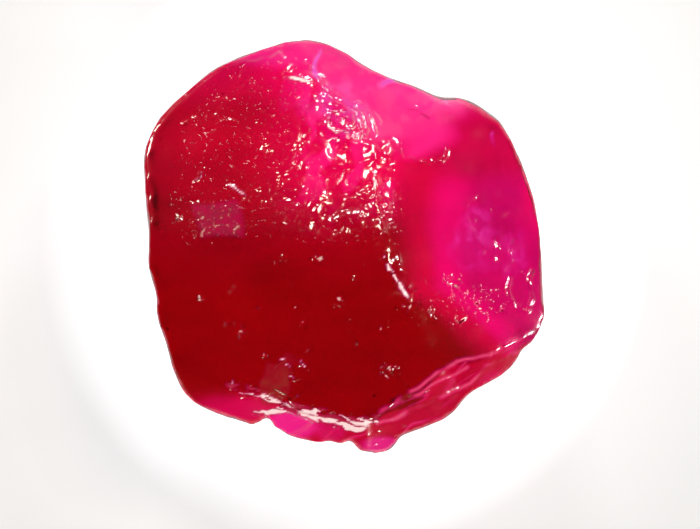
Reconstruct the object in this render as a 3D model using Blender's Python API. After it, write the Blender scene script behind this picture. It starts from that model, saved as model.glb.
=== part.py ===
"""Raw ruby crystal: one natural solid.

A stout, water-worn corundum crystal lies on its basal parting plane, with its c axis along +Z. Four crown faces
meet near an apex on top, the sides follow the worn outline of the hexagonal prism, and the lower right side has
broken into parting ledges. The origin lies in the resting plane, under the middle of the crystal's box.
The tables are in millimetres, with +X to the right and +Y up as seen from above.
"""

import math

import bmesh
import bpy
from mathutils import Vector, noise

MM = 0.001

# Driving dimensions
HEIGHT = 7.4  # from the resting face to the apex of the crown
FULL = 6.6  # level from which the sides keep the full outline
UNDERCUT = 0.20  # how far they draw in below it, down to the resting face
CLEAR_TOP = HEIGHT + 1.0  # the uncut column's top, above every crown face
SLIVER = 0.0005  # points closer than this are one

# Parting ledges of the lower right side: (level, share of the inset that is stepped in below it).
LEDGES = ((5.35, 0.22), (4.55, 0.50), (3.10, 0.78), (1.75, 1.0))
LEDGE_FACE = 0.12  # how much a ledge's underside rises outwards

# The widest outline seen from above, counter-clockwise. The prism faces are its long runs.
OUTLINE = (
    # right side
    (4.92, 0.0), (4.9, 0.5), (4.8, 1.05), (4.62, 1.65), (4.42, 2.15), (4.2, 2.65), (3.95, 3.1), (3.7, 3.38),
    (3.46, 3.53), (3.1, 3.73), (2.76, 3.84), (2.56, 3.65), (2.26, 3.76),
    # upper right prism face
    (1.79, 3.96), (1.25, 4.16), (0.78, 4.36), (0.45, 4.51), (0.21, 4.68), (0.1, 4.8),
    # top corner and the worn curve of the upper left
    (-0.39, 5.06), (-0.64, 5.14), (-1.01, 5.17), (-1.39, 5.12), (-1.76, 5.0), (-2.19, 4.88), (-2.64, 4.72),
    (-3.09, 4.53), (-3.39, 4.35), (-3.69, 4.1), (-4.01, 3.8), (-4.34, 3.53), (-4.64, 3.2), (-4.86, 2.8),
    (-5.02, 2.4), (-5.04, 2.02),
    # left prism face, hollowed low down
    (-5.01, 1.6), (-4.95, 1.02), (-4.9, 0.45), (-4.89, 0.0), (-4.92, -0.45), (-4.86, -0.72), (-4.74, -1.07),
    (-4.69, -1.3), (-4.71, -1.6), (-4.64, -1.97), (-4.49, -2.3), (-4.34, -2.97), (-4.21, -3.35), (-4.01, -3.67),
    # lower left corner
    (-3.76, -3.9), (-3.39, -4.1), (-2.64, -4.35), (-2.31, -4.47), (-2.11, -4.38),
    (-2.02, -4.06),
    # flaked lip along the bottom
    (-1.9, -4.2), (-1.8, -4.48), (-1.46, -4.72), (-1.06, -4.85), (-0.69, -4.92), (-0.39, -4.85), (-0.09, -4.95),
    (0.11, -4.78), (0.36, -5.12), (0.74, -5.17), (1.06, -5.1), (1.26, -4.92), (1.3, -4.74),
    # ledged lower right side
    (1.86, -4.55), (2.49, -4.3), (2.74, -4.1), (2.94, -3.85), (3.16, -3.66), (3.61, -3.42), (3.91, -3.25),
    (4.16, -3.03), (4.34, -2.78), (4.39, -2.6), (4.61, -2.47), (4.81, -2.25), (4.99, -1.9), (5.04, -1.6),
    (4.96, -1.3), (4.94, -0.85), (4.93, -0.42),
)

# How far the ledged side has drawn in below its lowest ledge: (direction in degrees from +X, inset).
LEDGE_INSETS = (
    (0.0, 0.0),
    (225.0, 0.0),
    (250.0, 0.25),
    (290.0, 0.55),
    (322.0, 0.50),
    (348.0, 0.0),
    (360.0, 0.0),
)

# Planes that cut the column to the crystal: (name, a point on the face, its rise per mm along X and along Y).
# A crown face keeps what lies under it.
APEX = (0.74, 0.28, HEIGHT)
UPPER_RIDGE_END = (0.86, 2.40, 7.07)  # where the crown's upper, right and top right faces meet
CROWN_FACES = (
    ("lower_left_face", APEX, 0.08, 0.15),
    ("upper_left_face", APEX, 0.08, -0.16),
    ("right_face", APEX, -0.52, -0.16),
    ("top_right_face", UPPER_RIDGE_END, -0.36, -0.62),
    ("lower_left_bevel", (-3.30, -3.55, 6.50), 0.32, 0.53),
    ("bottom_bevel", (-0.75, -4.00, 6.64), 0.17, 0.60),
    ("lower_right_bevel", (1.41, -3.75, 6.85), -0.21, 0.62),
    ("right_bevel", (3.26, -2.80, 6.58), -0.71, 0.30),
)
# An underside face keeps what lies over it.
UNDER_FACES = (
    ("under_right", (2.4, 0.0, 0.0), 0.26, 0.0),
    ("under_upper_right", (2.04, 2.72, 0.0), 0.27, 0.36),
    ("under_upper_left", (-2.4, 3.48, 0.0), -0.15, 0.25),
    ("under_left", (-4.1, 0.0, 0.0), -0.15, 0.0),
    ("under_bottom", (0.0, -3.9, 0.0), 0.04, -0.28),
    ("under_lower_right", (2.9, -2.9, 0.0), 0.18, -0.18),
)

WEAR = 0.08  # how far the sides are worn in, at most
WEAR_SCALE = 0.9  # noise cells per mm
LEDGE_UNEVEN = 0.7  # how unevenly each ledge's edge runs, against its inset
SOFTENING = 6  # averaging passes that turn the flaked outline into the worn one
RUBY_RED = (0.55, 0.004, 0.03, 1.0)


def clear_scene():
    for obj in list(bpy.data.objects):
        bpy.data.objects.remove(obj)


def ledge_inset(angle):
    """The inset at an angle in radians from +X, read along LEDGE_INSETS."""
    degrees = math.degrees(angle) % 360.0
    for (d0, in0), (d1, in1) in zip(LEDGE_INSETS, LEDGE_INSETS[1:]):
        if d0 <= degrees <= d1:
            t = (degrees - d0) / (d1 - d0)
            return in0 + (in1 - in0) * t * t * (3 - 2 * t)
    return 0.0


def softened(outline):
    """The outline with each point drawn towards its neighbours."""
    points = [Vector(p) for p in outline]
    for _ in range(SOFTENING):
        count = len(points)
        points = [(points[i - 1] + 2 * p + points[(i + 1) % count]) / 4 for i, p in enumerate(points)]
    return points


def levels():
    """(height, share of the ledges' inset) for each ring of the column, from the top down."""
    rings = [(CLEAR_TOP, 0.0), (6.0, 0.0)]
    stepped = 0.0
    for level, share in LEDGES:
        rings.append((level + LEDGE_FACE, stepped))
        rings.append((level, share))
        stepped = share
    rings += [(0.8, 1.0), (0.0, 1.0)]
    return rings[::-1]


def wall_point(flaked, worn, height, stepped):
    """A point of the sides at one level, in from the outline."""
    below = max(0.0, 1 - height / FULL) ** 1.5
    at = flaked.lerp(worn, max(below, 0.8 * stepped))
    inset = ledge_inset(math.atan2(flaked.y, flaked.x))
    uneven = 1 + LEDGE_UNEVEN * noise.noise(Vector((at.x, at.y, stepped * 9.0)))
    wear = WEAR * (0.5 + 0.5 * noise.noise(Vector((at.x, at.y, height)) * WEAR_SCALE))
    at -= at.normalized() * (inset * stepped * uneven + (UNDERCUT + wear) * below)
    return (at.x * MM, at.y * MM, height * MM)


def column():
    """The worn prism with its ledges, before its ends are cut: a bmesh of stacked rings."""
    bm = bmesh.new()
    worn = softened(OUTLINE)
    rings = []
    for level in levels():
        rings.append([bm.verts.new(wall_point(Vector(p), w, *level)) for p, w in zip(OUTLINE, worn)])
    for lower, upper in zip(rings, rings[1:]):
        for i in range(len(lower)):
            j = (i + 1) % len(lower)
            bm.faces.new((lower[i], lower[j], upper[j], upper[i]))
    bm.faces.new(list(reversed(rings[0])))
    bm.faces.new(rings[-1])
    bmesh.ops.triangulate(bm, faces=bm.faces[:])
    return bm


def cut(bm, point, rise_x, rise_y, keep_below):
    """Cuts the solid by a plane through point and closes it with a flat face."""
    outward = Vector((-rise_x, -rise_y, 1.0)).normalized()
    if not keep_below:
        outward = -outward
    found = bmesh.ops.bisect_plane(
        bm,
        geom=bm.verts[:] + bm.edges[:] + bm.faces[:],
        dist=SLIVER * MM,
        plane_co=Vector(point) * MM,
        plane_no=outward,
        clear_outer=True,
    )
    rim = [e for e in found["geom_cut"] if isinstance(e, bmesh.types.BMEdge) and e.is_boundary]
    if rim:
        filled = bmesh.ops.edgeloop_fill(bm, edges=rim)
        bmesh.ops.triangulate(bm, faces=filled["faces"])


def link(name, bm):
    mesh = bpy.data.meshes.new(name)
    bmesh.ops.recalc_face_normals(bm, faces=bm.faces[:])
    bm.to_mesh(mesh)
    bm.free()
    obj = bpy.data.objects.new(name, mesh)
    bpy.context.scene.collection.objects.link(obj)
    return obj


def ruby_material():
    material = bpy.data.materials.new("ruby")
    material.use_nodes = True
    surface = material.node_tree.nodes["Principled BSDF"]
    surface.inputs["Base Color"].default_value = RUBY_RED
    surface.inputs["Roughness"].default_value = 0.15
    surface.inputs["Metallic"].default_value = 0.0
    surface.inputs["IOR"].default_value = 1.77
    return material


def make_crystal():
    bm = column()
    for _, point, rise_x, rise_y in CROWN_FACES:
        cut(bm, point, rise_x, rise_y, keep_below=True)
    for _, point, rise_x, rise_y in UNDER_FACES:
        cut(bm, point, rise_x, rise_y, keep_below=False)
    crystal = link("ruby_crystal", bm)
    crystal.data.materials.append(ruby_material())
    return crystal


clear_scene()
make_crystal()
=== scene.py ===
"""Raw ruby crystal: the looks.

A worn, etched ruby lies on a pale table that lights it from below, and is seen from straight above. The stone is one
mesh made from the CAD solid: remeshed evenly, worn round, then raised and pitted along its own outward direction. Its
tints are worked out for each point from its place and from noise, and are kept on the mesh as attributes.
"""

import itertools

import bmesh
import bpy
import numpy as np
from mathutils import Euler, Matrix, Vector


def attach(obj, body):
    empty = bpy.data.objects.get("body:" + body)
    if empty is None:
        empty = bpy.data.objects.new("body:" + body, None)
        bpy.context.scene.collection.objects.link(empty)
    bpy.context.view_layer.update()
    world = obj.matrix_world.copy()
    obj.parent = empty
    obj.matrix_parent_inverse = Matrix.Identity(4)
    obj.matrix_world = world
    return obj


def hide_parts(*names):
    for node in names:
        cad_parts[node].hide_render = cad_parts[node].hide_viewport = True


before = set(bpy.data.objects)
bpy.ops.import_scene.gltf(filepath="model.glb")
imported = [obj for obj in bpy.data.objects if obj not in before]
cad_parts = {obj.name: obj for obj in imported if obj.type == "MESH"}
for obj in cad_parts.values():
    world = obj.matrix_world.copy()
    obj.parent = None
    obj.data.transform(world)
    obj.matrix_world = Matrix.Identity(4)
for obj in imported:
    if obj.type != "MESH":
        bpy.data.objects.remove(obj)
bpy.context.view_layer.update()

MM = 0.001

# Camera: straight above, as in the photograph, whose frame is 700 x 529 pixels
FRAME_WIDTH = 700
PIXELS_PER_MM = 40.0
FRAME_MIDDLE = (0.1125, -0.4625)  # mm, the point of the crystal under the frame's middle
OUTLINE_LEVEL = 5.0  # mm, where the crystal's outline is seen, so where the frame's scale holds
CAMERA_DISTANCE = 220.0  # mm above that level
SENSOR = 36.0

# Noise: the numbers that scatter its cells' values, and the turn that takes its cells out of line with the crystal
SCATTER = (12.9898, 78.233, 37.719)
SCATTER_BY_SEED = 17.17
SCATTER_PHASES = (0.0, 2.1, 4.2)
SCATTER_SPREAD = 43758.5453
TURN = np.array(Euler((0.6, 0.4, 0.9)).to_matrix())

# Shape, in mm
VOXEL = 0.092
FINE_LEVEL = 3.0  # quads above this level that face up are split in four
FINE_FACING = 0.35  # the least upward part of such a quad's normal
WORN_PASSES = 12
WEAR_PER_PASS = 0.5  # how far a pass draws a point towards its neighbours' middle
LEDGE_WEAR = 0.3  # how worn the ledges' edges are, against the crown's

# Relief, in mm
WAVES = 0.045  # the worn surface's slow waves, over the whole stone
SIDE_RIPPLES = 0.014
HOLLOWS = 0.045  # of the corroded places
FURROWS = 0.02  # of the corroded places
PITS = ((0.18, 0.030, 45), (0.12, 0.021, 48))  # (size, depth, the noise's seed)
BUMPS = 0.022
BUMPY = ((3.6, 0.4), (1.2, 1.3))  # (middle, half its size) of the right face's patch of bumps
ETCHED_OVAL = ((-0.1, 0.15), (4.85, 5.0))  # (middle, half its size) of the part of the crown that is etched

# Marks on the surface: (name, height, half its width, its run as the camera sees it), ridges up and grooves down.
# A mark of no height is here for its run, which other tables and functions use by its name.
STROKES = (
    ("loop_by_glint", 0.04, 0.045, ((-0.69, 4.12), (-0.49, 4.08), (-0.36, 3.95), (-0.29, 3.77), (-0.36, 3.67))),
    ("crater", 0.04, 0.06, (
        (-0.36, 3.33), (-0.11, 3.38), (0.11, 3.3), (0.24, 3.12), (0.16, 2.92), (-0.06, 2.83), (-0.31, 2.88),
        (-0.44, 3.05), (-0.44, 3.23), (-0.36, 3.33),
    )),
    ("comb_1", 0.05, 0.035, ((0.09, 3.52), (0.26, 3.38), (0.36, 3.1), (0.39, 2.75))),
    ("comb_2", 0.05, 0.035, ((0.19, 3.55), (0.41, 3.35), (0.54, 3.05), (0.59, 2.7))),
    ("comb_3", 0.05, 0.035, ((0.29, 3.58), (0.56, 3.35), (0.71, 3.08), (0.79, 2.8))),
    ("comb_4", 0.05, 0.035, ((0.11, 3.33), (0.21, 3.05), (0.24, 2.73))),
    ("comb_5", 0.04, 0.035, ((0.41, 3.55), (0.71, 3.35), (0.91, 3.1))),
    ("comb_foot", 0.04, 0.04, ((0.01, 2.7), (0.26, 2.55), (0.56, 2.58), (0.81, 2.45))),
    ("lens_upper", 0.06, 0.035, ((-2.94, 1.52), (-2.74, 1.45), (-2.56, 1.3), (-2.44, 1.1))),
    ("lens_lower", 0.055, 0.03, ((-2.94, 1.52), (-2.86, 1.35), (-2.69, 1.18), (-2.44, 1.07))),
    ("dash_1", 0.045, 0.035, ((-3.06, 3.12), (-2.89, 3.15), (-2.71, 3.1))),
    ("dash_2", 0.045, 0.03, ((-4.11, 3.05), (-3.99, 3.1))),
    ("dash_3", 0.045, 0.03, ((-3.81, 3.2), (-3.69, 3.12), (-3.64, 3.0))),
    ("hook_left", 0.05, 0.035, ((-3.61, 1.88), (-3.64, 1.73), (-3.74, 1.6), (-3.79, 1.5))),
    ("dash_4", 0.05, 0.04, ((-1.96, 2.2), (-1.86, 2.38))),
    ("dash_5", 0.045, 0.03, ((-2.09, 2.33), (-2.01, 2.48), (-1.91, 2.55))),
    ("crack_1", -0.04, 0.03, ((-1.04, 2.88), (-1.11, 2.7), (-1.06, 2.52), (-1.19, 2.35), (-1.24, 2.12))),
    ("crack_2", -0.04, 0.03, ((-1.24, 2.12), (-1.39, 1.95), (-1.56, 1.88))),
    ("crack_3", -0.05, 0.03, ((-1.89, 2.83), (-1.71, 2.9), (-1.59, 2.83), (-1.44, 2.95), (-1.31, 2.88))),
    ("slash", 0.0, 0.03, ((1.61, 3.33), (1.84, 3.23), (2.06, 3.1), (2.24, 2.98))),
    ("scallop", -0.03, 0.055, (
        (1.16, 2.65), (1.26, 2.45), (1.41, 2.38), (1.51, 2.25), (1.69, 2.23), (1.81, 2.1), (2.04, 2.08), (2.21, 2.12),
        (2.39, 2.1), (2.54, 2.25), (2.56, 2.42),
    )),
    ("ridge_glint_1", 0.035, 0.07, ((0.79, 1.95), (0.74, 1.65), (0.76, 1.35), (0.69, 1.05))),
    ("ridge_glint_2", 0.0, 0.07, (
        (0.86, -0.03), (0.96, -0.3), (1.06, -0.55), (1.26, -0.88), (1.44, -1.12), (1.56, -1.35),
    )),
    ("ridge_glint_3", 0.045, 0.05, ((1.29, -0.12), (1.36, -0.4))),
    ("arc_right", 0.03, 0.05, ((4.16, 0.15), (4.09, 0.0), (4.11, -0.17), (4.16, -0.33))),
    ("arc_right_2", 0.03, 0.05, ((3.79, 0.07), (3.81, -0.07))),
    ("arc_right_3", 0.03, 0.05, ((3.81, -0.38), (3.89, -0.5), (3.99, -0.6))),
    ("swirl", 0.03, 0.05, ((4.14, -0.82), (4.06, -1.0), (4.09, -1.2), (4.21, -1.38), (4.34, -1.43))),
    ("swirl_2", 0.025, 0.06, ((4.61, -0.62), (4.54, -0.85), (4.56, -1.1), (4.66, -1.35), (4.56, -1.6))),
    ("pair", 0.03, 0.05, ((3.26, -1.05), (3.44, -1.02), (3.61, -1.07), (3.74, -1.02))),
    ("low_right_1", 0.025, 0.04, ((1.94, -0.82), (2.14, -0.95), (2.26, -1.15), (2.46, -1.12))),
    ("low_right_2", 0.025, 0.04, ((2.76, -1.25), (2.94, -1.43), (3.21, -1.48), (3.51, -1.62))),
    ("chip_line_1", 0.04, 0.035, ((-1.76, -3.05), (-1.61, -2.95), (-1.41, -3.0), (-1.31, -3.12))),
    ("chip_line_2", 0.04, 0.035, ((-1.16, -2.95), (-0.99, -2.98), (-0.91, -3.12))),
    ("chip_line_3", 0.035, 0.03, ((-1.89, -3.35), (-1.64, -3.27), (-1.31, -3.35), (-1.06, -3.3))),
    ("cross_1", 0.025, 0.035, ((-2.09, -3.7), (-1.79, -3.62), (-1.56, -3.77), (-1.36, -3.98))),
    ("cross_2", 0.025, 0.035, ((-1.61, -4.03), (-1.34, -3.8), (-1.06, -3.67))),
    ("edge_line", 0.01, 0.06, (
        (-2.84, -3.45), (-2.56, -3.6), (-2.19, -3.67), (-1.94, -3.8), (-1.59, -3.98), (-1.24, -4.08), (-0.84, -4.12),
        (-0.44, -4.22), (-0.01, -4.33), (0.41, -4.35), (0.76, -4.3),
    )),
    ("parting_1", 0.012, 0.05, (
        (0.46, -4.35), (0.91, -4.12), (1.41, -3.75), (1.94, -3.42), (2.44, -3.12), (2.81, -2.9), (3.26, -2.8),
        (3.96, -2.55), (4.41, -2.33),
    )),
    ("parting_2", 0.012, 0.04, (
        (0.84, -4.42), (1.31, -4.28), (1.76, -4.05), (2.41, -3.77), (3.14, -3.42), (3.49, -2.98), (3.96, -2.8),
        (4.31, -2.62),
    )),
    ("parting_3", 0.012, 0.035, ((1.16, -3.95), (1.61, -3.8), (2.06, -3.55), (2.66, -3.25), (3.06, -3.05))),
    ("lip_top", 0.0, 0.04, ((-3.09, 4.42), (-2.74, 4.58), (-2.34, 4.65), (-1.94, 4.72), (-1.59, 4.85))),
    ("lip_top_2", 0.0, 0.04, ((-2.09, 4.9), (-1.51, 4.97), (-0.89, 5.0), (-0.39, 4.95), (0.01, 4.78))),
    ("lip_left", 0.0, 0.05, ((-4.09, -3.5), (-3.74, -3.75), (-3.29, -3.92), (-2.84, -4.08), (-2.39, -4.15))),
)
RUNS = {name: run for name, _, _, run in STROKES}

# Narrow facets along a run, each tilted out of the face it lies in: (the run's name, its tilt, half its width)
FACETS = (
    ("ridge_glint_2", (-0.065, 0.14), 0.11),
)

# The most worn stretches of the crown's ridges, as the camera sees them: (passes of wear, their run, their bumps'
# height)
RIDGES = (
    (20, ((0.80, 2.20), (0.75, 0.95)), 0.06),
    (30, ((0.85, 0.05), (1.45, -1.15)), 0.05),
    (120, ((1.75, -1.75), (2.45, -3.20)), 0.0),
    (60, ((2.2, -2.7), (2.6, -3.2)), 0.0),
    (80, ((1.2, 2.68), (3.1, 3.35)), 0.0),
)

# The lines in plan that the top right face lies above: (a point, rise per mm)
TOP_RIGHT_LINES = (((-0.9, 4.6), -1.41), ((0.66, 2.4), 0.29))

# Paler flakes of the shelf below the crown: (middle, half its size, how pale)
PALE_FLAKES = (
    ((-3.1, -4.15), (1.7, 0.45), 0.2),
    ((-1.36, -4.50), (0.95, 0.55), 1.0),
    ((-0.35, -4.66), (0.42, 0.36), 0.3),
    ((0.81, -5.0), (0.6, 0.32), 1.0),
    ((3.2, -4.2), (0.55, 0.4), 0.6),
    ((3.9, -3.35), (0.75, 0.45), 0.25),
    ((4.6, -2.2), (0.5, 0.6), 0.2),
)

# Clusters of fine pits on the lower left face and the foot of the right one: (middle, half its size)
PIT_CLUSTERS = (
    ((-2.8, -1.08), (0.22, 0.14)),
    ((-1.65, -1.25), (0.16, 0.14)),
    ((-1.28, -1.0), (0.14, 0.12)),
    ((-1.25, -1.6), (0.12, 0.12)),
    ((-2.9, -1.9), (0.20, 0.14)),
    ((-0.2, -1.4), (0.25, 0.12)),
    ((0.2, -0.9), (0.14, 0.14)),
    ((-2.15, -1.52), (0.12, 0.12)),
    ((-2.55, -2.2), (0.35, 0.30)),
    ((-1.6, -0.35), (0.30, 0.16)),
    ((-0.6, -0.35), (0.35, 0.14)),
    ((0.3, -2.45), (0.14, 0.14)),
    ((1.1, -3.1), (0.40, 0.30)),
    ((1.6, -1.4), (0.45, 0.45)),
    ((2.7, -0.9), (0.35, 0.30)),
    ((-3.6, -1.3), (0.18, 0.12)),
    ((-1.05, -1.9), (0.14, 0.20)),
    ((0.95, -2.0), (0.16, 0.12)),
    ((-2.0, -2.75), (0.16, 0.10)),
    ((0.1, -1.9), (0.10, 0.10)),
    ((-0.9, -2.6), (0.12, 0.10)),
)

# Marks whose edges are pale, partly ground and partly painted highlight: (name, how pale)
GROUND_AND_HIGHLIGHT_EDGES = (
    ("crater", 0.9),
    ("comb_1", 0.8),
    ("comb_2", 0.9),
    ("comb_3", 0.9),
    ("comb_4", 0.7),
    ("comb_5", 0.6),
    ("loop_by_glint", 0.7),
    ("lip_top", 0.6),
    ("lip_top_2", 0.5),
    ("scallop", 0.5),
    ("arc_right", 0.8),
    ("swirl", 0.7),
    ("swirl_2", 0.4),
)

# Painted highlights, white streaks that glow: (run as the camera sees it, half the width at each point)
PAINTED_HIGHLIGHT_STREAKS = (
    (((-1.74, -2.98), (-1.56, -2.9), (-1.39, -3.0)), (0.02, 0.055, 0.02)),
    (((-1.09, -2.85), (-0.99, -3.02)), (0.012, 0.025)),
    (((-1.54, -3.33), (-1.36, -3.27), (-1.21, -3.38)), (0.008, 0.02, 0.008)),
    (((-1.61, -4.0), (-1.36, -3.8), (-1.09, -3.65)), (0.012, 0.022, 0.008)),
    (((-2.09, -3.65), (-1.94, -3.75), (-1.84, -3.83)), (0.02, 0.04, 0.02)),
    (((-2.94, 1.52), (-2.74, 1.45), (-2.56, 1.3), (-2.49, 1.18)), (0.03, 0.035, 0.02, 0.005)),
    (((-3.61, 1.88), (-3.64, 1.73), (-3.74, 1.6)), (0.01, 0.018, 0.02)),
    (((-0.31, 3.35), (-0.11, 3.38), (0.09, 3.33)), (0.02, 0.025, 0.015)),
    (
        ((-0.39, 3.27), (-0.44, 3.12), (-0.39, 2.98), (-0.24, 2.85), (-0.04, 2.83), (0.14, 2.88)),
        (0.02, 0.03, 0.03, 0.03, 0.03, 0.015),
    ),
    (((0.19, 3.55), (0.31, 3.45), (0.44, 3.27), (0.51, 3.05), (0.56, 2.75)), (0.01, 0.03, 0.028, 0.025, 0.01)),
    (((0.36, 3.55), (0.56, 3.38), (0.71, 3.15), (0.81, 2.9)), (0.01, 0.03, 0.03, 0.01)),
    (((0.06, 3.48), (0.26, 3.35), (0.39, 3.05), (0.41, 2.65)), (0.01, 0.022, 0.022, 0.01)),
    (((-0.61, 4.05), (-0.46, 3.95), (-0.41, 3.77), (-0.29, 3.7)), (0.015, 0.025, 0.02, 0.015)),
    (((0.71, 1.85), (0.76, 1.6), (0.74, 1.4)), (0.02, 0.045, 0.025)),
    (((0.94, -0.2), (1.09, -0.53), (1.29, -0.88), (1.46, -1.12), (1.59, -1.32)), (0.02, 0.05, 0.03, 0.055, 0.02)),
    (((-1.54, 4.22), (-1.31, 4.17), (-1.06, 4.15), (-0.79, 4.15)), (0.03, 0.06, 0.05, 0.01)),
    (
        ((-1.49, -3.95), (-1.14, -4.12), (-0.64, -4.33), (-0.14, -4.45), (0.31, -4.53), (0.66, -4.4)),
        (0.03, 0.06, 0.09, 0.12, 0.12, 0.04),
    ),
    (((-2.34, -4.1), (-1.94, -4.15), (-1.49, -4.1), (-1.14, -4.25), (-0.84, -4.4)), (0.03, 0.07, 0.04, 0.03, 0.02)),
)

# Single places on the crown: (middle, half its size)
TABLET = ((-3.22, 0.62), (0.56, 0.44))  # the violet tablet grown into the upper left face
PAINTED_SPARKLE_PATCH = ((-2.80, 0.55), (0.35, 0.42))  # a patch of painted sparkles beside it
CHIP = ((-1.72, -3.40), (0.38, 0.62))  # the ground chip near the crown's bottom edge

# Lilac spots and hazes: (middle, half its size, how strong)
PALE_SPOTS = (
    ((-0.74, 4.45), (0.10, 0.42), 1.0),
    ((1.05, 4.12), (0.55, 0.13), 1.0),
    ((-0.10, 3.45), (1.1, 1.0), 0.6),
    ((2.52, 3.62), (0.30, 0.10), 1.0),
    ((3.62, 2.68), (0.12, 0.18), 0.7),
    ((3.30, 0.25), (0.75, 1.05), 0.45),
    ((4.15, -0.20), (0.45, 0.80), 0.35),
)

# Widths of the pale and dark lines, in mm from the middle of each
SLASH_WIDTH = 0.03
SEAM_WIDTH = 0.035
PALE_EDGE_WIDTH = 0.032

# Directions in plan that stretched marks follow
CRINKLES_RUN = (0.97, -0.24)
SEAMS_RUN = (0.89, 0.46)
CHIP_RUN = (0.98, 0.2)
STAINS_RUN = (0.5, 0.87)

# Colour
ABSORPTION = (0.012, 1.0, 0.14)  # of red, green and blue light, per mm
DEEP_RED = (0.225, 0.001, 0.004)
RED = (0.42, 0.003, 0.04)
CRIMSON = (0.68, 0.006, 0.16)
HOT_PINK = (0.85, 0.14, 0.43)
ROSE = (0.51, 0.003, 0.085)
PINK = (0.66, 0.01, 0.25)
MAGENTA = (0.48, 0.012, 0.18)
SHELF_RED = (0.44, 0.01, 0.06)
VIOLET = (0.16, 0.06, 0.035)
GREY_ROSE = (0.22, 0.13, 0.010)
# the colour of the painted sparkles
PAINTED_SPARKLE = (0.50, 0.13, 0.05)
LILAC = (0.85, 0.25, 1.0)
SLASH_RED = (0.16, 0.002, 0.03)
PALE_ROSE = (0.85, 0.40, 0.34)
PALE_PINK = (0.66, 0.14, 0.40)
SIDE_RED = (0.55, 0.006, 0.09)
UNDER = (0.85, 0.05, 0.35)
BROWN = (0.30, 0.10, 0.06)
# the colour of the painted highlights and of their glow
HIGHLIGHT_CREAM = (1.0, 0.93, 0.86)

# partly painted light: the right face pales from its thick ridge to its thin rim, which is lit through
# The right face's zones, from its ridge outwards: (colour, where it starts, where it is full), in mm
RIGHT_FACE_COLOURS_AND_LIGHT = (
    (ROSE, 1.1, 2.1),
    (PINK, 2.0, 2.6),
    (MAGENTA, 2.7, 3.4),
)

# Surface
IOR = 1.77
SIDE_ROUGHNESS = 0.07
CROWN_ROUGHNESS = 0.16
CROWN_COAT = 0.8
COAT_ROUGHNESS = 0.05
CLEAR_TRANSMISSION = 0.94
FROSTED_TRANSMISSION = 0.1
PAINTED_HIGHLIGHT_GLOW = 0.5  # the painted highlights' glow, in the most frosted places
GLOW_FROM = 0.5  # how frosted a place is where the painted glow starts
PINHOLE_SIZE = 0.10  # mm
PINHOLE_DEPTH = 0.05  # mm

# Stage
FLOOR_RADIUS = 0.6  # m
FLOOR_GAP = 0.02  # mm under the resting face, so that the two don't lie in one plane
FLOOR_PALE = (0.6, 0.6, 0.61, 1)
FLOOR_LIGHT = (0.98, 0.98, 1.0, 1)
FLOOR_GLOW = (  # (distance from the middle in m, strength)
    (0.0, 1.6), (0.0055, 1.6), (0.0075, 0.6), (0.013, 0.45), (0.03, 0.12), (1.0, 0.12),
)
SKY = (  # (sine of the height over the horizon, brightness)
    (0.0, 0.30), (0.06, 0.28), (0.2, 0.07), (0.35, 0.008), (1.0, 0.004),
)
LIT_POINT = (0, 0, 4)  # mm, the crystal's middle, which every lamp faces
WHITE = (1, 1, 1)
WARM = (1.0, 0.95, 0.86)
GOLD = (1.0, 0.9, 0.7)
LIGHTS = (  # (name, place in mm, size in mm, power, colour)
    ("key", (-70, 60, 90), 20, 0.03, WARM),
    ("top", (-16, 105, 75), 22, 0.035, WHITE),
    ("top_right", (54, 67, 95), 18, 0.025, (0.9, 0.92, 1.0)),
    ("low_right", (116, 0, 50), 12, 0.014, (0.92, 0.94, 1.0)),
    ("lower_right", (66, -76, 79), 14, 0.008, WHITE),
    ("bottom", (10, -105, 75), 22, 0.03, WARM),
    ("ridge_low", (37, 35, 118), 20, 0.03, GOLD),
    ("ridge_high", (53, 39, 112), 10, 0.014, GOLD),
)


def linked(name, data):
    obj = bpy.data.objects.new(name, data)
    bpy.context.scene.collection.objects.link(obj)
    return obj


# ---------------------------------------------------------------- noise and falls

def eased(t):
    """A share in 0..1 that starts and ends gently."""
    return t * t * (3 - 2 * t)


def smoothstep(low, high, value):
    return eased(np.clip((value - low) / (high - low), 0.0, 1.0))


def bell(distance, wide):
    """1 at no distance, falling to about a third at this width and to nothing beyond."""
    return np.exp(-((distance / wide) ** 2))


def random_at(cells, seed):
    """Three repeatable random numbers in 0..1 for each whole-numbered cell."""
    turns = cells @ np.array(SCATTER) + SCATTER_BY_SEED * seed
    return np.modf(np.abs(np.sin(turns[..., None] + np.array(SCATTER_PHASES))) * SCATTER_SPREAD)[0]


def smooth_noise(points, size, seed):
    """Value noise in -1..1 with features this size."""
    scaled = points @ TURN / size
    cell = np.floor(scaled)
    t = eased(scaled - cell)
    total = np.zeros(len(points))
    for corner in itertools.product((0, 1), repeat=3):
        weight = np.prod(np.where(np.array(corner) == 1, t, 1 - t), axis=1)
        total += weight * random_at(cell + corner, seed)[:, 0]
    return 2 * total - 1


def fractal_noise(points, size, seed, octaves=3):
    return sum(smooth_noise(points, size / 2**k, seed + k) / 2**k for k in range(octaves))


def warped(points, amount, size, seed):
    """The points pushed about, so that noise read at them has no grain."""
    return points + amount * np.stack([smooth_noise(points, size, seed + k) for k in range(3)], axis=1)


def drawn_out(points, direction, size, stretch, seed):
    """Noise whose features are this many times longer along a direction in plan than across it."""
    along = points[:, :2] @ direction / stretch
    across = points[:, 1] * direction[0] - points[:, 0] * direction[1]
    return fractal_noise(np.stack([along, across, points[:, 2] / stretch], axis=1), size, seed, octaves=2)


def clouded(points):
    """Soft uneven cloudiness."""
    clouds = fractal_noise(warped(points, 0.1, 0.3, seed=161), 0.25, seed=165, octaves=2)
    return 0.25 + 0.75 * smoothstep(-0.5, 0.5, clouds)


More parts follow.
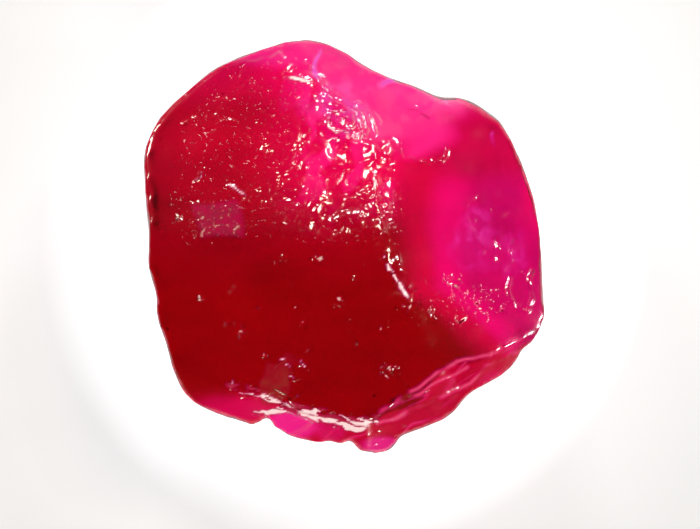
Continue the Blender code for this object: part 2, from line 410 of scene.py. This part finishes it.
def clustering(points):
    """1 where the etch pits crowd together and 0 between their clusters."""
    return smoothstep(-0.4, 0.5, smooth_noise(points, 0.7, seed=17))


# ---------------------------------------------------------------- mesh arrays

def coordinates(mesh):
    found = np.empty(len(mesh.vertices) * 3)
    mesh.vertices.foreach_get("co", found)
    return found.reshape(-1, 3)


def normals(mesh):
    mesh.update()
    found = np.empty(len(mesh.vertices) * 3, np.float32)
    mesh.vertex_normals.foreach_get("vector", found)
    return found.reshape(-1, 3).astype(float)


def write_coordinates(mesh, points):
    mesh.vertices.foreach_set("co", points.astype(np.float32).ravel())
    mesh.update()


def write_shares(mesh, name, shares):
    mesh.attributes.new(name, "FLOAT", "POINT").data.foreach_set("value", shares.astype(np.float32))


def write_colours(mesh, name, colours):
    opaque = np.column_stack([colours, np.ones(len(colours))])
    mesh.attributes.new(name, "FLOAT_COLOR", "POINT").data.foreach_set("color", opaque.astype(np.float32).ravel())


def edge_ends(mesh):
    ends = np.empty(len(mesh.edges) * 2, np.int32)
    mesh.edges.foreach_get("vertices", ends)
    return ends.reshape(-1, 2)


def relaxed(points, ends, strength, passes):
    """The points drawn towards their neighbours' middle, as far as each one's strength says: this wears edges round."""
    count = len(points)
    degree = np.bincount(ends.ravel(), minlength=count)[:, None]
    for _ in range(passes):
        sums = np.stack([
            np.bincount(ends[:, 0], points[ends[:, 1], k], count)
            + np.bincount(ends[:, 1], points[ends[:, 0], k], count)
            for k in range(3)
        ], axis=1)
        points = points + strength[:, None] * (sums / degree - points)
    return points


# ---------------------------------------------------------------- places as the camera sees them

def seen_from_above(points):
    """Where the camera sees each point: x and y at the level where the frame's scale holds."""
    middle = np.array(FRAME_MIDDLE)
    reach = CAMERA_DISTANCE / (CAMERA_DISTANCE + OUTLINE_LEVEL - points[:, 2:])
    return middle + (points[:, :2] - middle) * reach


def segments(run):
    return zip(np.array(run), np.array(run)[1:])


def from_segment(spots, start, end):
    """(how far along a segment the point nearest to each spot lies, in 0..1; the way from it to the spot)."""
    whole = end - start
    along = np.clip((spots - start) @ whole / (whole @ whole), 0, 1)
    return along, spots - start - along[:, None] * whole


def from_line(spots, run):
    """The way to each spot from the run's nearest point."""
    shortest = np.full((len(spots), 2), np.inf)
    for start, end in segments(run):
        _, away = from_segment(spots, start, end)
        nearer = np.linalg.norm(away, axis=1) < np.linalg.norm(shortest, axis=1)
        shortest[nearer] = away[nearer]
    return shortest


def line_distance(spots, run):
    return np.linalg.norm(from_line(spots, run), axis=1)


def streak_distance(spots, run, half_widths):
    """How far outside a tapering streak each spot lies, in mm; less than 0 inside it."""
    nearest = np.full(len(spots), np.inf)
    for (start, end), at_start, at_end in zip(segments(run), half_widths, half_widths[1:]):
        along, away = from_segment(spots, start, end)
        nearest = np.minimum(nearest, np.linalg.norm(away, axis=1) - at_start - (at_end - at_start) * along)
    return nearest


def patch(spots, middle, half_size, blur):
    """1 inside an ellipse, falling to 0 over its outer part."""
    return smoothstep(1.0, 1.0 - blur, np.linalg.norm((spots - middle) / half_size, axis=1))


def below_crown(spots):
    """How far each spot lies below the crown's lower edge, in mm, where that is over the ledges."""
    edge = np.array(RUNS["lip_left"][:1] + RUNS["edge_line"] + RUNS["parting_1"][1:])
    return np.interp(spots[:, 0], edge[:, 0], edge[:, 1]) - spots[:, 1]


def tablet(spots):
    """1 on the violet tablet, whose sides lean a little."""
    middle, (half_x, half_y) = TABLET
    x, y = (spots - middle).T
    return smoothstep(1.15, 0.75, np.maximum(np.abs(x + 0.25 * y) / half_x, np.abs(y - 0.04 * x) / half_y))


def top_right_face(spots):
    """How far each spot lies inside the top right face, in mm."""
    x, y = spots.T
    return np.minimum(*(y - y0 - (x - x0) * rise for (x0, y0), rise in TOP_RIGHT_LINES))


# ---------------------------------------------------------------- shape

def remeshed(node):
    """A copy of the CAD solid in mm, with even quads the size of a voxel."""
    mesh = node.data.copy()
    mesh.materials.clear()
    write_coordinates(mesh, coordinates(mesh) / MM)
    source = linked("source", mesh)
    remesh = source.modifiers.new("even", "REMESH")
    remesh.mode = "VOXEL"
    remesh.voxel_size = VOXEL
    graph = bpy.context.evaluated_depsgraph_get()
    even = bpy.data.meshes.new_from_object(source.evaluated_get(graph), depsgraph=graph)
    bpy.data.objects.remove(source)
    return even


def refine_crown(mesh):
    """Splits the crown's quads in four, because its relief is the finest."""
    bm = bmesh.new()
    bm.from_mesh(mesh)
    bm.normal_update()
    faces = [f for f in bm.faces if f.normal.z > FINE_FACING and f.calc_center_median().z > FINE_LEVEL]
    edges = {edge for face in faces for edge in face.edges}
    bmesh.ops.subdivide_edges(bm, edges=list(edges), cuts=1, use_grid_fill=True)
    bm.to_mesh(mesh)
    bm.free()


def worn(mesh):
    """The mesh's points with its edges worn round, least along the ledges and most along RIDGES."""
    points = coordinates(mesh)
    ends = edge_ends(mesh)
    ledged = smoothstep(-0.1, 0.1, below_crown(seen_from_above(points))) * smoothstep(2.2, 3.0, points[:, 2])
    points = relaxed(points, ends, WEAR_PER_PASS * (1 + (LEDGE_WEAR - 1) * ledged), WORN_PASSES)
    for passes, run, _ in RIDGES:
        near = smoothstep(0.9, 0.4, line_distance(seen_from_above(points), run)) * smoothstep(4.0, 5.0, points[:, 2])
        points = relaxed(points, ends, WEAR_PER_PASS * near, passes)
    return points


def crown_share(points, outward):
    """1 on the crown, falling to 0 over its rim."""
    return smoothstep(0.55, 0.85, outward[:, 2]) * smoothstep(2.5, 4.0, points[:, 2])


def etch_share(points):
    """(how corroded, how pitted) each point of the crown is."""
    spots = seen_from_above(warped(points, 0.12, 0.35, seed=101))
    x, y = spots.T
    upper_left = smoothstep(-0.15, 0.4, y) * smoothstep(1.5, 1.0, x)
    # the upper left face is the most corroded towards its right and round the crater, and less at its middle top
    corroded = upper_left * smoothstep(-2.2, -0.6, x)
    corroded = np.maximum(corroded, 0.8 * patch(spots, (-0.1, 3.1), (1.6, 1.5), 0.5))
    corroded *= 1 - 0.7 * patch(spots, (-1.9, 3.0), (1.1, 0.9), 0.6)
    # the same face is pitted all over, the right one along its foot, and the rest in clusters
    pitted = np.maximum((0.70 + 0.25 * smoothstep(-2.6, -0.6, x)) * upper_left, 0.85 * corroded)
    pitted = np.maximum(pitted, 0.5 * patch(spots, (3.2, -1.5), (1.6, 0.7), 0.5))
    for middle, half_size in PIT_CLUSTERS:
        pitted = np.maximum(pitted, patch(spots, middle, half_size, 0.6))
    # the crown's rim, its facets, the top right face and the ledged side stay smooth
    middle, half_size = ETCHED_OVAL
    from_middle = np.sum(np.abs((spots - middle) / half_size) ** 3, axis=1) ** (1 / 3)
    for name, _, wide in FACETS:
        from_middle += smoothstep(3.0 * wide, 2.0 * wide, line_distance(spots, RUNS[name]))
    inside = smoothstep(0.3, -0.1, top_right_face(spots)) * smoothstep(0.95, 0.83, from_middle)
    return corroded * inside, pitted * inside * smoothstep(-0.2, -0.5, below_crown(spots))


def relief(points, outward):
    """How far each point moves out of the stone, in mm."""
    spots = seen_from_above(points)
    crown = crown_share(points, outward)
    corroded, pitted = etch_share(points)
    drift = warped(points, 0.2, 0.5, seed=31)
    height = WAVES * fractal_noise(points, 1.7, seed=1) * (0.5 + 0.5 * crown)
    height += crown * corroded * HOLLOWS * fractal_noise(drift, 0.40, seed=5)
    furrows = bell(fractal_noise(drift, 0.6, seed=9, octaves=2), 0.09)
    furrows *= smoothstep(0.0, 0.4, smooth_noise(points, 0.6, seed=14))
    height -= crown * corroded * FURROWS * furrows
    # pits lie where the noise is over a level, which is lower in the pitted places; they are steeper below y = 0
    least = 0.84 - 0.56 * pitted * (0.45 + 0.55 * clustering(points))
    steep = 1 + 0.7 * smoothstep(0.0, -0.4, spots[:, 1])
    for size, depth, seed in PITS:
        marks = smooth_noise(warped(points, 0.5 * size, 1.3 * size, seed) * (1.0, 1.4, 1.0), size, seed + 1)
        height -= crown * steep * depth * smoothstep(least, least + 0.2, marks)
    height += crown * patch(spots, *BUMPY, 0.6) * BUMPS * smooth_noise(drift, 0.26, seed=51)
    for _, run, bumpy in RIDGES:
        height += crown * bell(line_distance(spots, run), 0.25) * bumpy * fractal_noise(points, 0.3, seed=55, octaves=2)
    # the marks waver, and their ridges and grooves are beaded
    wavering = seen_from_above(drift * 0.3 + points * 0.7)
    beads = 0.25 + 0.75 * smoothstep(-0.5, 0.4, fractal_noise(points, 0.16, seed=61, octaves=2))
    for _, tall, wide, run in STROKES:
        height += crown * tall * beads * bell(line_distance(wavering, run), wide)
    for name, tilt, wide in FACETS:
        away = from_line(wavering, RUNS[name])
        height -= away @ tilt * smoothstep(2.0 * wide, wide, np.linalg.norm(away, axis=1))
    ripples = fractal_noise(points * (1.0, 1.0, 3.0), 0.5, seed=21, octaves=2)
    return height + (1 - crown) * SIDE_RIPPLES * ripples


# ---------------------------------------------------------------- tints

def blend(colours, other, share):
    return colours + share[:, None] * (np.array(other) - colours)


def upward(outward):
    """1 where the surface faces up enough to be tinted as the crown is."""
    return smoothstep(0.3, 0.6, outward[:, 2])


def set_in(share):
    """The share drawn in from its edges, so that a mark's thin edge scatters before it pales."""
    return np.clip((share - 0.5) / 0.5, 0, 1)


def tints(points, outward):
    """What the surface lets through at each point.

    Light from the table crosses the underside and then the crown, and takes the root of each one's tint, so the
    crown's tint makes up for the underside's.
    """
    crown = zoning_and_painted_light(points) ** 2 / UNDER
    sides = np.tile(np.array(SIDE_RED), (len(points), 1))
    colours = blend(sides, UNDER, smoothstep(-0.3, -0.6, outward[:, 2]))
    return blend(colours, overlaid(points, crown), upward(outward))


def zoning_and_painted_light(points):
    """The colours seen through the crown: partly its own zoning, partly painted light and shade, pinker where thin."""
    spots = seen_from_above(warped(points, 0.25, 1.1, seed=71))
    x, y = spots.T
    corroded, _ = etch_share(points)
    colours = np.tile(np.array(DEEP_RED), (len(points), 1))
    # the upper left face pales upwards and to the right
    upwards = smoothstep(-1.5, 3.2, y)
    colours = blend(colours, RED, upwards * smoothstep(1.6, 1.0, x))
    colours = blend(colours, CRIMSON, 0.9 * smoothstep(-2.7, -0.1, x) * smoothstep(0.0, 2.1, y))
    colours = blend(colours, CRIMSON, 0.9 * smoothstep(3.2, 4.6, y))
    stains = drawn_out(warped(points, 0.15, 0.4, seed=73), STAINS_RUN, 0.35, 2.2, seed=75)
    stained = smoothstep(-0.1, 0.5, stains)
    colours = blend(colours, HOT_PINK, 0.6 * corroded * smoothstep(0.2, 2.2, y) * stained)
    # the right face runs from deep red at its ridge to magenta, along lines that slant below y = -1; partly painted
    # light
    slant = x + np.minimum(0.0, y + 1.0)
    across = smoothstep(0.7, 1.2, x)
    for colour, start, full in RIGHT_FACE_COLOURS_AND_LIGHT:
        colours = blend(colours, colour, across * smoothstep(start, full, slant))
    colours = blend(colours, ROSE, 0.8 * smoothstep(1.3, 2.2, slant) * smoothstep(1.2, 1.9, y))
    colours = blend(colours, CRIMSON, across * smoothstep(4.3, 4.9, x) * smoothstep(-0.5, 1.5, y))
    # the top right face and the lips are the palest
    over = top_right_face(spots)
    colours = blend(colours, HOT_PINK, smoothstep(-0.25, 0.5, over) * (1 - 0.7 * smoothstep(2.7, 3.4, x)))
    colours = blend(colours, HOT_PINK, 0.9 * patch(spots, (1.85, 2.75), (1.05, 0.75), 0.55))
    colours = blend(colours, HOT_PINK, smoothstep(4.3, 4.8, y))
    colours = blend(colours, ROSE, 0.4 * patch(spots, (1.0, 2.5), (0.85, 0.45), 0.7))
    # the shelf below the crown is red, with paler flakes
    high = smoothstep(1.0, 3.0, points[:, 2])
    shelf = smoothstep(0.0, 0.12 + 0.7 * smoothstep(-2.2, -3.2, x), below_crown(spots)) * high
    colours = blend(colours, SHELF_RED, shelf)
    for middle, half_size, share in PALE_FLAKES:
        colours = blend(colours, PALE_PINK, share * shelf * patch(spots, middle, half_size, 0.5))
    mottled = 1 + 0.14 * fractal_noise(points * (0.5, 1.0, 1.0), 0.9, seed=81)
    return colours * mottled[:, None]


def overlaid(points, colours):
    """The colours with the surface's own stains and marks over them, and its painted highlights and sparkles."""
    spots = seen_from_above(warped(points, 0.25, 1.1, seed=71))
    colours = blend(colours, VIOLET, 0.9 * tablet(spots))
    colours = blend(colours, LILAC, pale_spots(points))
    slashed = smoothstep(-0.5, 0.3, smooth_noise(points, 0.2, seed=141))
    slashed *= bell(line_distance(spots, RUNS["slash"]), SLASH_WIDTH)
    colours = blend(colours, SLASH_RED, 0.7 * slashed)
    # pale seams, and pale edges that are partly painted highlights
    colours = blend(colours, PALE_ROSE, np.maximum(0.8 * seams(points), set_in(ground_and_highlight_edges(points))))
    # painted sparkles
    colours = blend(colours, PAINTED_SPARKLE, set_in(painted_sparkles(points)))
    colours = blend(colours, GREY_ROSE, 0.8 * chip_haze(points))
    # the pale strands are painted highlights
    pale, brown = highlight_and_brown_strands(points)
    colours = blend(colours, BROWN, brown)
    # painted highlights, whitened towards cream
    return blend(np.clip(colours, 0, 1), HIGHLIGHT_CREAM, set_in(np.maximum(painted_highlights(points), pale)))


def painted_sparkles(points):
    """How bright the painted sparkles are: fine specks on the violet tablet, beside it and in the clusters of pits."""
    spots = seen_from_above(warped(points, 0.1, 0.2, seed=181))
    found = 0.8 * tablet(spots)
    for middle, half_size in (PAINTED_SPARKLE_PATCH,) + PIT_CLUSTERS:
        found = np.maximum(found, patch(spots, middle, half_size, 0.7))
    specks = fractal_noise(warped(points, 0.03, 0.1, seed=183), 0.085, seed=185, octaves=2)
    return found * smoothstep(0.2, 0.65, specks)


def pale_spots(points):
    """How lilac each point is; the weaker spots are ragged."""
    spots = seen_from_above(warped(points, 0.25, 0.4, seed=171))
    found = np.zeros(len(points))
    for middle, half_size, share in PALE_SPOTS:
        ragged = 1 if share == 1 else clouded(points)
        found = np.maximum(found, share * ragged * patch(spots, middle, half_size, 0.7))
    return found


def chip_haze(points):
    """How ground the chip's surface is."""
    middle, (half_x, half_y) = CHIP
    x, y = (seen_from_above(warped(points, 0.15, 0.3, seed=111)) - middle).T
    inside = smoothstep(1.0, 0.75, np.maximum(np.abs(x - 0.25 * y) / half_x, np.abs(y) / half_y))
    strands = drawn_out(warped(points, 0.1, 0.2, seed=113), CHIP_RUN, 0.2, 2.5, seed=115)
    return inside * (0.55 + 0.45 * strands)


def painted_highlights(points):
    """How white the painted highlight streaks are. They are broken into strands."""
    spots = seen_from_above(warped(points, 0.05, 0.15, seed=91))
    found = np.zeros(len(points))
    for run, half_widths in PAINTED_HIGHLIGHT_STREAKS:
        found = np.maximum(found, smoothstep(0.03, -0.03, streak_distance(spots, run, half_widths)))
    strands = drawn_out(warped(points, 0.05, 0.2, seed=95), CRINKLES_RUN, 0.09, 6.0, seed=97)
    return found * smoothstep(2.5, 3.5, points[:, 2]) * (0.3 + 0.7 * smoothstep(-0.5, -0.2, strands))


def highlight_and_brown_strands(points):
    """(share of pale strands, which are painted highlights; share of brown ones) along the crown's bottom edge."""
    spots = seen_from_above(warped(points, 0.05, 0.2, seed=131))
    band = smoothstep(0.16, 0.06, line_distance(spots, RUNS["edge_line"]))
    strands = drawn_out(warped(points, 0.05, 0.2, seed=135), CRINKLES_RUN, 0.07, 4.0, seed=139)
    least = 0.15 + 0.2 * smoothstep(-1.6, -2.4, spots[:, 0])
    return band * smoothstep(least, least + 0.25, strands), 0.8 * band * smoothstep(-0.1, -0.5, strands)


def seams(points):
    """The thin pale lines where partings run into the surface of the ledged side."""
    placed = warped(points, 0.06, 0.3, seed=121)
    spots = seen_from_above(placed)
    broken = smoothstep(-0.35, 0.35, smooth_noise(points, 0.35, seed=125))
    runs = [RUNS[name] for name in ("parting_1", "parting_2", "parting_3")]
    found = broken * np.clip(sum(bell(line_distance(spots, run), SEAM_WIDTH) for run in runs), 0, 1)
    strands = drawn_out(placed, SEAMS_RUN, 0.35, 6.0, seed=127)
    ledged = smoothstep(0.0, 0.1, below_crown(spots)) * smoothstep(-2.4, -1.8, spots[:, 0])
    fine = 0.6 * ledged * smoothstep(-0.1, 0.5, smooth_noise(points, 0.6, seed=129))
    return np.maximum(found, fine * bell(strands, 0.06))


def ground_and_highlight_edges(points):
    """How pale the sharpest marks' edges are, partly ground and partly painted highlight."""
    spots = seen_from_above(warped(points, 0.05, 0.2, seed=151))
    broken = smoothstep(-0.3, 0.4, smooth_noise(points, 0.17, seed=155))
    found = np.zeros(len(points))
    for name, share in GROUND_AND_HIGHLIGHT_EDGES:
        found = np.maximum(found, share * bell(line_distance(spots, RUNS[name]), PALE_EDGE_WIDTH))
    return broken * found


def frost_and_glow(points):
    """How much of the surface scatters and lets less through; its strongest places, painted highlights and sparkles,
    glow.
    """
    spots = seen_from_above(points)
    # the pale strands are painted highlights
    pale, brown = highlight_and_brown_strands(points)
    clouds = clouded(points)
    kinds = (
        # painted highlights, frosted enough to glow
        0.9 * np.maximum(painted_highlights(points), pale),
        0.5 * brown,
        0.6 * chip_haze(points),
        0.35 * seams(points),
        # pale edges, partly painted highlights
        0.6 * ground_and_highlight_edges(points),
        # painted sparkles, frosted enough to glow
        0.9 * painted_sparkles(points),
        0.5 * pale_spots(points),
        0.12 * smoothstep(-0.1, 0.4, top_right_face(spots)) * clouds,
        0.25 * tablet(spots) * clouds,
    )
    return np.maximum.reduce(kinds)


# ---------------------------------------------------------------- materials

def new_material(name):
    material = bpy.data.materials.new(name)
    material.use_nodes = True
    tree = material.node_tree
    return material, tree, tree.nodes["Principled BSDF"]


def ramp(tree, value, stops):
    """A ramp of greys over value; stops are (place, grey)."""
    node = tree.nodes.new("ShaderNodeValToRGB")
    node.color_ramp.interpolation = "EASE"
    elements = node.color_ramp.elements
    while len(elements) < len(stops):
        elements.new(0.5)
    for element, (place, grey) in zip(elements, stops):
        element.position = place
        element.color = (grey, grey, grey, 1)
    tree.links.new(value, node.inputs["Fac"])
    return node.outputs["Color"]


def attribute(tree, name, output):
    node = tree.nodes.new("ShaderNodeAttribute")
    node.attribute_name = name
    return node.outputs[output]


def mapped(tree, value, low, high, from_low=0.0):
    """value in from_low..1 stretched to low..high."""
    node = tree.nodes.new("ShaderNodeMapRange")
    node.inputs["From Min"].default_value = from_low
    node.inputs["To Min"].default_value = low
    node.inputs["To Max"].default_value = high
    tree.links.new(value, node.inputs["Value"])
    return node.outputs["Result"]


def pinholes(tree, strength):
    """A bump of scattered pinholes, as strong as the strength value says."""
    grain = tree.nodes.new("ShaderNodeTexNoise")
    grain.noise_dimensions = "4D"
    grain.inputs["W"].default_value = 3.0
    grain.inputs["Scale"].default_value = 1 / (PINHOLE_SIZE * MM)
    grain.inputs["Detail"].default_value = 1.0
    tree.links.new(tree.nodes.new("ShaderNodeTexCoord").outputs["Object"], grain.inputs["Vector"])
    bump = tree.nodes.new("ShaderNodeBump")
    bump.inputs["Distance"].default_value = PINHOLE_DEPTH * MM
    tree.links.new(strength, bump.inputs["Strength"])
    tree.links.new(ramp(tree, grain.outputs["Fac"], ((0.0, 1.0), (0.63, 1.0), (0.70, 0.0))), bump.inputs["Height"])
    return bump.outputs["Normal"]


def ruby_material():
    material, tree, surface = new_material("ruby")
    tree.links.new(attribute(tree, "tint", "Color"), surface.inputs["Base Color"])
    frost_and_glow_share = attribute(tree, "frost_and_glow", "Fac")
    clear = mapped(tree, frost_and_glow_share, CLEAR_TRANSMISSION, FROSTED_TRANSMISSION)
    tree.links.new(clear, surface.inputs["Transmission Weight"])
    # painted highlights and sparkles: the most frosted places glow cream
    tree.links.new(mapped(tree, frost_and_glow_share, 0.0, PAINTED_HIGHLIGHT_GLOW, GLOW_FROM), surface.inputs["Emission Strength"])
    surface.inputs["Emission Color"].default_value = (*HIGHLIGHT_CREAM, 1)
    surface.inputs["IOR"].default_value = IOR
    crown = attribute(tree, "crown", "Fac")
    tree.links.new(mapped(tree, crown, SIDE_ROUGHNESS, CROWN_ROUGHNESS), surface.inputs["Roughness"])
    tree.links.new(mapped(tree, crown, 0.0, CROWN_COAT), surface.inputs["Coat Weight"])
    surface.inputs["Coat Roughness"].default_value = COAT_ROUGHNESS
    pitted = pinholes(tree, attribute(tree, "etched", "Fac"))
    tree.links.new(pitted, surface.inputs["Normal"])
    tree.links.new(pitted, surface.inputs["Coat Normal"])
    absorb = tree.nodes.new("ShaderNodeVolumeAbsorption")
    strongest = max(ABSORPTION)
    absorb.inputs["Color"].default_value = tuple(1 - a / strongest for a in ABSORPTION) + (1,)
    absorb.inputs["Density"].default_value = strongest / MM
    tree.links.new(absorb.outputs["Volume"], tree.nodes["Material Output"].inputs["Volume"])
    return material


# ---------------------------------------------------------------- the stone

def make_stone():
    mesh = remeshed(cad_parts["ruby_crystal"])
    refine_crown(mesh)
    points = worn(mesh)
    write_coordinates(mesh, points)
    outward = normals(mesh)
    crown = crown_share(points, outward)
    crinkled = smoothstep(0.2, 0.1, line_distance(seen_from_above(points), RUNS["edge_line"]))
    etched = np.maximum(*etch_share(points)) * (0.5 + 0.5 * clustering(points))
    write_colours(mesh, "tint", tints(points, outward))
    # the frosted share; its strongest places are painted highlights and sparkles, which glow
    write_shares(mesh, "frost_and_glow", frost_and_glow(points) * upward(outward))
    write_shares(mesh, "etched", np.maximum(etched, crinkled) * crown)
    write_shares(mesh, "crown", crown)
    points = points + outward * relief(points, outward)[:, None]
    points[:, 2] = np.maximum(points[:, 2], 0.0)
    write_coordinates(mesh, points * MM)
    mesh.polygons.foreach_set("use_smooth", [True] * len(mesh.polygons))
    mesh.name = "ruby_stone"
    stone = linked("ruby_stone", mesh)
    mesh.materials.append(ruby_material())
    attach(stone, "root")
    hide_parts("ruby_crystal")


# ---------------------------------------------------------------- stage

def make_floor():
    """A plain pale table, lit through from below round the stone."""
    bm = bmesh.new()
    bmesh.ops.create_circle(bm, cap_ends=True, segments=96, radius=FLOOR_RADIUS)
    mesh = bpy.data.meshes.new("floor")
    bm.to_mesh(mesh)
    bm.free()
    floor = linked("floor", mesh)
    floor.location.z = -FLOOR_GAP * MM
    material, tree, surface = new_material("pale_floor")
    surface.inputs["Base Color"].default_value = FLOOR_PALE
    surface.inputs["Roughness"].default_value = 0.8
    surface.inputs["Emission Color"].default_value = FLOOR_LIGHT
    away = tree.nodes.new("ShaderNodeVectorMath")
    away.operation = "LENGTH"
    tree.links.new(tree.nodes.new("ShaderNodeTexCoord").outputs["Object"], away.inputs[0])
    tree.links.new(ramp(tree, away.outputs["Value"], FLOOR_GLOW), surface.inputs["Emission Strength"])
    mesh.materials.append(material)


def make_light(name, place, size, power, colour):
    """A square soft lamp, turned to the crystal's middle."""
    data = bpy.data.lights.new(name, "AREA")
    data.size = size * MM
    data.energy = power
    data.color = colour
    light = linked(name, data)
    light.location = Vector(place) * MM
    light.rotation_euler = (Vector(LIT_POINT) - Vector(place)).to_track_quat("-Z", "Y").to_euler()


def make_world():
    """Pale round the horizon and dark overhead, so that the crown mirrors little but the lamps."""
    world = bpy.data.worlds.new("studio")
    bpy.context.scene.world = world
    world.use_nodes = True
    tree = world.node_tree
    direction = tree.nodes.new("ShaderNodeTexCoord").outputs["Generated"]
    split = tree.nodes.new("ShaderNodeSeparateXYZ")
    tree.links.new(direction, split.inputs[0])
    tree.links.new(ramp(tree, split.outputs["Z"], SKY), tree.nodes["Background"].inputs["Color"])


def make_camera():
    data = bpy.data.cameras.new("camera")
    data.sensor_width = SENSOR
    data.lens = SENSOR * CAMERA_DISTANCE * PIXELS_PER_MM / FRAME_WIDTH
    data.clip_start = 1.0 * MM
    camera = linked("camera", data)
    camera.location = Vector((*FRAME_MIDDLE, OUTLINE_LEVEL + CAMERA_DISTANCE)) * MM
    bpy.context.scene.camera = camera


make_camera()
make_stone()
make_floor()
make_world()
for light in LIGHTS:
    make_light(*light)
bpy.context.scene.view_settings.view_transform = "Standard"
